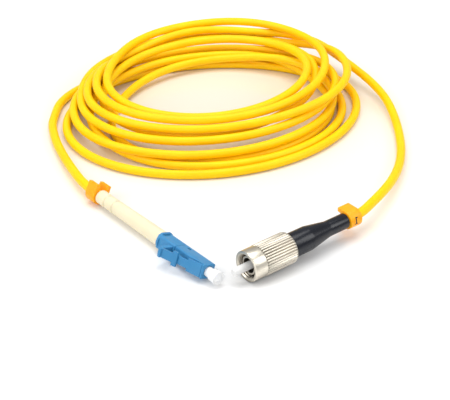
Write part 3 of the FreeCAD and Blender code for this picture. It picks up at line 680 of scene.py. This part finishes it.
def ring_corner(form, x, radius, turn):
    """Point of a ring at an angle round the plug's axis."""
    return form.verts.new((x * MM, radius * math.sin(turn) * MM, radius * math.cos(turn) * MM))


def ring_mesh(name, form, rings, angle=smooth_angle):
    """Mesh of rings, each joined to the next one and the last one to the first."""
    for ring, following in zip(rings, rings[1:] + rings[:1]):
        for segment in range(len(ring)):
            after = (segment + 1) % len(ring)
            face = dict.fromkeys((ring[segment], ring[after], following[after], following[segment]))
            if len(face) > 2:
                form.faces.new(list(face))
    bmesh.ops.recalc_face_normals(form, faces=form.faces)
    mesh = bpy.data.meshes.new(name)
    form.to_mesh(mesh)
    form.free()
    smooth(mesh, angle)
    return mesh


def lathe(name, outline, place, body, finish, node, segments=lathe_segments):
    """Turned piece from a closed (x, radius, fillet) outline; a radius of 0 is a pole."""
    form = bmesh.new()
    rings = []
    for x, radius in filleted(outline):
        if radius == 0.0:
            rings.append([ring_corner(form, x, 0.0, 0.0)] * segments)
        else:
            rings.append([ring_corner(form, x, radius, turn) for turn in even_turns(segments)])
    add(name, ring_mesh(name, form, rings), place, body, finish, node)


def node_mesh(node, place):
    """Copy of the node's own mesh in its plug's axes."""
    mesh = bpy.data.objects[node].data.copy()
    mesh.transform(place.inverted())
    return mesh


def softened(name, node, place, body, finish, radius):
    """The node's own form with its edges rounded as a mould leaves them."""
    mesh = node_mesh(node, place)
    form = bmesh.new()
    form.from_mesh(mesh)
    bmesh.ops.remove_doubles(form, verts=form.verts, dist=weld_distance * MM)
    bmesh.ops.dissolve_limit(form, angle_limit=math.radians(flat_angle), verts=form.verts,
                             edges=form.edges)
    form.to_mesh(mesh)
    form.free()
    piece = add(name, mesh, place, body, finish, node)
    edge = piece.modifiers.new("edge", "BEVEL")
    edge.width = radius * MM
    edge.segments = edge_segments
    edge.limit_method = "ANGLE"
    edge.angle_limit = math.radians(edge_angle)
    bpy.context.view_layer.update()
    shaped = bpy.data.meshes.new_from_object(
        piece.evaluated_get(bpy.context.evaluated_depsgraph_get()))
    piece.modifiers.clear()
    piece.data = shaped
    smooth(shaped)
    paint(piece, finish)


def plug_spring(name, node, place):
    """The node's own spring, shaded smooth, with a mesh of its own."""
    mesh = node_mesh(node, place)
    smooth(mesh)
    piece = add(name, mesh, place, "cable", steel, node)
    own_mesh(piece)


# Both boots' room for the cable and for the crimp sleeve; the ferrules' fibre hole
cable_room = 1.53
crimp_room = 2.07
fibre_hole = 0.083


# FC coupling nut: plain front band, knurl, web that holds it on the frame, thread

fc_nut_length = 16.2
fc_nut_band_radius = 4.9
fc_nut_smooth_angle = 24.0
fc_nut_web_front = -12.5
fc_nut_web_back = -13.7
fc_nut_web_hole = 3.05
fc_nut_rear_bore = 4.05
fc_knurl_count = 36
fc_knurl_depth = 0.3
fc_knurl_flatness = 1.35
fc_knurl_segments = 12
fc_thread_radius = 3.65
fc_thread_pitch = 0.75
fc_thread_depth = 0.3
fc_thread_flatness = 1.3
fc_thread_steps = 8
fc_thread_gap = 0.1
fc_thread_fade = 0.8
fc_thread_end = -0.45


def ridge(phase, flatness):
    """Height of a row of flat ridges, one a phase: 0 in a valley and 1 on top."""
    return min(1.0, flatness * (1.0 - abs(2.0 * (phase % 1.0) - 1.0)))


def fc_nut_ring(form, x, radius, knurl, thread):
    """Ring of the nut, cut by a share of the knurl or widened by one of the thread."""
    ring = []
    for turn in even_turns(fc_knurl_count * fc_knurl_segments):
        crest = ridge(turn * fc_knurl_count / (2.0 * math.pi), fc_knurl_flatness)
        groove = ridge(x / fc_thread_pitch + turn / (2.0 * math.pi), fc_thread_flatness)
        size = radius - knurl * fc_knurl_depth * (1.0 - crest)
        size += thread * fc_thread_depth * groove
        ring.append(ring_corner(form, x, size, turn))
    return ring


def fc_nut_section():
    """(x, radius, share of the knurl, share of the thread) round the nut's section."""
    back = -fc_nut_length
    front_rim = [
        (-0.03, 4.02, 0, 0), (0.0, 4.1, 0, 0), (0.0, 4.68, 0, 0), (-0.04, 4.8, 0, 0),
        (-0.14, 4.88, 0, 0),
    ]
    band = [
        (-0.26, fc_nut_band_radius, 0, 0), (-4.3, fc_nut_band_radius, 0, 0),
        (-4.42, fc_nut_band_radius - 0.03, 0, 0), (-4.5, fc_nut_band_radius - 0.1, 0, 0),
        (-4.55, fc_nut_band_radius - 0.2, 0, 0),
    ]
    knurl = [
        (-4.62, 4.78, 0.8, 0), (-4.8, 4.94, 1, 0), (-5.0, fc_nut_radius, 1, 0),
        (back + 0.9, fc_nut_radius, 1, 0), (back + 0.5, 4.93, 1, 0), (back + 0.25, 4.8, 0.8, 0),
    ]
    back_rim = [
        (back + 0.1, 4.62, 0.4, 0), (back, 4.4, 0, 0), (back, 4.15, 0, 0),
        (back + 0.1, fc_nut_rear_bore, 0, 0),
    ]
    web = [
        (fc_nut_web_back, fc_nut_rear_bore, 0, 0), (fc_nut_web_back, fc_nut_web_hole, 0, 0),
        (fc_nut_web_front, fc_nut_web_hole, 0, 0), (fc_nut_web_front, fc_thread_radius, 0, 0),
    ]
    thread = []
    x = fc_nut_web_front + fc_thread_gap
    while x < fc_thread_end:
        share = min(1.0, (x - fc_nut_web_front) / fc_thread_fade)
        thread.append((x, fc_thread_radius, 0, share))
        x += fc_thread_pitch / fc_thread_steps
    mouth = [(-0.4, fc_thread_radius + 0.05, 0, 0.5), (-0.25, fc_thread_radius + 0.17, 0, 0)]
    return front_rim + band + knurl + back_rim + web + thread + mouth


def fc_nut():
    """The coupling nut, from the rings of its section."""
    form = bmesh.new()
    rings = [fc_nut_ring(form, *station) for station in fc_nut_section()]
    mesh = ring_mesh("fc_knurled_nut", form, rings, fc_nut_smooth_angle)
    add("fc_knurled_nut", mesh, fc_place, "fc_nut", nickel, "fc_coupling_nut")


fc_nut()


# FC frame: barrel with the web that stops the ferrule and the flange that holds the nut

fc_frame_front = -1.0
fc_frame_back = -15.0
fc_frame_radius = 2.95
fc_frame_bore = 2.35
fc_frame_web_front = -5.4
fc_frame_web_back = -6.6
fc_frame_web_hole = 1.35
fc_frame_chamber = 2.1
fc_frame_flange_front = -9.0
fc_frame_flange_back = -10.5
fc_frame_flange_radius = 3.5

lathe("fc_barrel", [
    (fc_frame_front, fc_frame_radius, 0.08),
    (fc_frame_flange_front, fc_frame_radius, crisp),
    (fc_frame_flange_front, fc_frame_flange_radius, 0.06),
    (fc_frame_flange_back, fc_frame_flange_radius, 0.06),
    (fc_frame_flange_back, fc_frame_radius, crisp),
    (fc_frame_back, fc_frame_radius, soft),
    (fc_frame_back, fc_frame_chamber, crisp),
    (fc_frame_web_back, fc_frame_chamber, crisp),
    (fc_frame_web_back, fc_frame_web_hole, crisp),
    (fc_frame_web_front, fc_frame_web_hole, soft),
    (fc_frame_web_front, fc_frame_bore, crisp),
    (fc_frame_front, fc_frame_bore, 0.1),
], fc_place, "cable", nickel, "fc_frame")


# FC ferrule

fc_ferrule_front = 4.8
fc_ferrule_back = -8.2
fc_ferrule_radius = 1.25
fc_ferrule_tip = 0.35

lathe("fc_white_ferrule", [
    (fc_ferrule_front, fibre_hole, 0.0),
    (fc_ferrule_front, fc_ferrule_radius - fc_ferrule_tip, 0.12),
    (fc_ferrule_front - fc_ferrule_tip, fc_ferrule_radius, 0.12),
    (fc_ferrule_back, fc_ferrule_radius, soft),
    (fc_ferrule_back, fibre_hole, 0.0),
], fc_place, "fc_ferrule_unit", ceramic, "fc_ferrule", segments=64)


# FC boot

fc_boot_front = -14.0
fc_boot_taper_front = -23.5
fc_boot_taper_back = -31.5
fc_boot_back = -38.8
fc_boot_radius = 3.85
fc_boot_tail_radius = 2.5
fc_boot_taper_fillet = 6.0
fc_boot_seat = 2.98
fc_boot_seat_back = -16.62
fc_boot_crimp_back = -29.8

lathe("fc_black_boot", [
    (fc_boot_front, fc_boot_radius, 0.25),
    (fc_boot_taper_front, fc_boot_radius, fc_boot_taper_fillet),
    (fc_boot_taper_back, fc_boot_tail_radius, fc_boot_taper_fillet),
    (fc_boot_back, fc_boot_tail_radius, 0.3),
    (fc_boot_back, cable_room, soft),
    (fc_boot_crimp_back, cable_room, crisp),
    (fc_boot_crimp_back, crimp_room, crisp),
    (fc_boot_seat_back, crimp_room, crisp),
    (fc_boot_seat_back, fc_boot_seat, crisp),
    (fc_boot_front, fc_boot_seat, soft),
], fc_place, "cable", black, "fc_boot")


# FC spring, key ring and marker clip

plug_spring("fc_steel_spring", "fc_spring", fc_place)
softened("fc_key", "fc_key_ring", fc_place, "cable", nickel, 0.08)
softened("fc_orange_clip", "fc_marker_clip", fc_place, "fc_clip", marked_orange(), 0.12)


# LC housing, latch, sleeve, trigger and spring

softened("lc_blue_housing", "lc_housing", lc_place, "cable", blue, 0.12)
softened("lc_blue_latch", "lc_latch_lever", lc_place, "lc_latch", blue, 0.1)
softened("lc_blue_sleeve", "lc_trigger_sleeve", lc_place, "cable", blue, 0.12)
softened("lc_blue_trigger", "lc_trigger", lc_place, "lc_trigger", blue, 0.12)
plug_spring("lc_steel_spring", "lc_spring", lc_place)


# LC boot: spigot in the sleeve, long taper, and a tail with grooves

lc_spigot_front = -19.7
lc_spigot_radius = 1.88
lc_boot_front = -21.7
lc_boot_taper_back = -45.0
lc_boot_back = -54.8
lc_boot_radius = 3.0
lc_boot_tail_radius = 2.3
lc_groove_fronts = (-45.8, -50.0)
lc_groove_width = 0.8
lc_groove_radius = 1.95
lc_neck_room = 1.2
lc_boot_crimp_front = -22.2
lc_boot_crimp_back = -31.7


def lc_boot_outline():
    """(x, radius, fillet) round the boot's section."""
    outline = [
        (lc_spigot_front, lc_spigot_radius, soft),
        (lc_boot_front, lc_spigot_radius, soft),
        (lc_boot_front, lc_boot_radius, 0.2),
        (lc_boot_taper_back, lc_boot_tail_radius, 0.3),
    ]
    for front in lc_groove_fronts:
        back = front - lc_groove_width
        outline += [
            (front, lc_boot_tail_radius, 0.15),
            (front, lc_groove_radius, 0.1),
            (back, lc_groove_radius, 0.1),
            (back, lc_boot_tail_radius, 0.15),
        ]
    return outline + [
        (lc_boot_back, lc_boot_tail_radius, 0.3),
        (lc_boot_back, cable_room, soft),
        (lc_boot_crimp_back, cable_room, crisp),
        (lc_boot_crimp_back, crimp_room, crisp),
        (lc_boot_crimp_front, crimp_room, crisp),
        (lc_boot_crimp_front, lc_neck_room, crisp),
        (lc_spigot_front, lc_neck_room, crisp),
    ]


lathe("lc_ivory_boot", lc_boot_outline(), lc_place, "cable", ivory, "lc_boot")


# LC dust cap: stem in the housing's mouth, thicker outside, blind hole for the ferrule

lc_cap_stem_back = -4.0
lc_cap_stem_front = 2.0
lc_cap_stem_radius = 1.6
lc_cap_front = 5.5
lc_cap_radius = 2.1
lc_cap_bore = 0.675
lc_cap_bore_front = 1.6

lathe("lc_white_cap", [
    (lc_cap_stem_back, lc_cap_bore, crisp),
    (lc_cap_stem_back, lc_cap_stem_radius, 0.1),
    (lc_cap_stem_front, lc_cap_stem_radius, soft),
    (lc_cap_stem_front, lc_cap_radius, 0.15),
    (lc_cap_front, lc_cap_radius, 0.7),
    (lc_cap_front, 0.0, 0.0),
    (lc_cap_bore_front, 0.0, 0.0),
    (lc_cap_bore_front, lc_cap_bore, 0.0),
], lc_place, "lc_cap", white, "lc_dust_cap")


# LC marker clip

softened("lc_orange_clip", "lc_marker_clip", lc_place, "lc_clip", orange, 0.12)


# Floor: glossy and white, with the coil's yellow bounce light painted on it as a soft cream patch

floor_reach = 3.0
floor_white = (0.90, 0.90, 0.90)
floor_roughness = 0.14
painted_bounce_cream = (0.80, 0.745, 0.63)
painted_bounce_centre = Vector((-2.0, 84.0, 0.0))
painted_bounce_radius = 88.0
painted_bounce_full = 0.6

floor_corners = [(-floor_reach, -floor_reach, 0), (floor_reach, -floor_reach, 0),
                 (floor_reach, floor_reach, 0), (-floor_reach, floor_reach, 0)]
floor_mesh = bpy.data.meshes.new("floor")
floor_mesh.from_pydata(floor_corners, [], [(0, 1, 2, 3)])
floor = new_object("floor", floor_mesh)
floor_finish, floor_tree, floor_shader = material("floor_white", floor_white, floor_roughness)
paint(floor, floor_finish)

# Painted bounce light: a spherical gradient round the coil tints the floor's white towards cream
glow = floor_tree.nodes.new("ShaderNodeTexGradient")
glow.gradient_type = "SPHERICAL"
lay_out(floor_tree, glow, (1.0 / (painted_bounce_radius * MM),) * 3, -painted_bounce_centre / painted_bounce_radius)
tint(floor_tree, floor_shader, glow.outputs["Fac"], floor_white, painted_bounce_cream, 0.0, painted_bounce_full)


# Light: places, targets and sizes in metres, power in watts

sky_strength = 0.45

world = bpy.data.worlds.new("studio")
bpy.context.scene.world = world
world.use_nodes = True
sky = world.node_tree.nodes["Background"]
sky.inputs["Color"].default_value = (1.0, 1.0, 1.0, 1.0)
sky.inputs["Strength"].default_value = sky_strength


def lamp(name, place, target, size, power):
    """White soft box that shines from its place on its target."""
    data = bpy.data.lights.new(name, "AREA")
    data.shape = "RECTANGLE"
    data.size, data.size_y = size
    data.energy = power
    light = new_object(name, data)
    light.location = place
    light.rotation_euler = (Vector(target) - Vector(place)).to_track_quat("-Z", "Y").to_euler()


lamp("overhead", place=(0.0, 0.15, 0.7), target=(0.0, 0.05, 0.0), size=(0.7, 0.5), power=3.8)
lamp("left_box", place=(-0.6, -0.2, 0.45), target=(0.0, 0.05, 0.0), size=(0.4, 0.5), power=2.2)
lamp("right_box", place=(0.6, -0.1, 0.4), target=(0.0, 0.05, 0.0), size=(0.3, 0.4), power=1.5)
lamp("front_box", place=(-0.1, -0.6, 0.25), target=(0.0, 0.0, 0.0), size=(0.5, 0.3), power=1.1)

bpy.context.scene.view_settings.view_transform = "Standard"


bpy.context.view_layer.update()
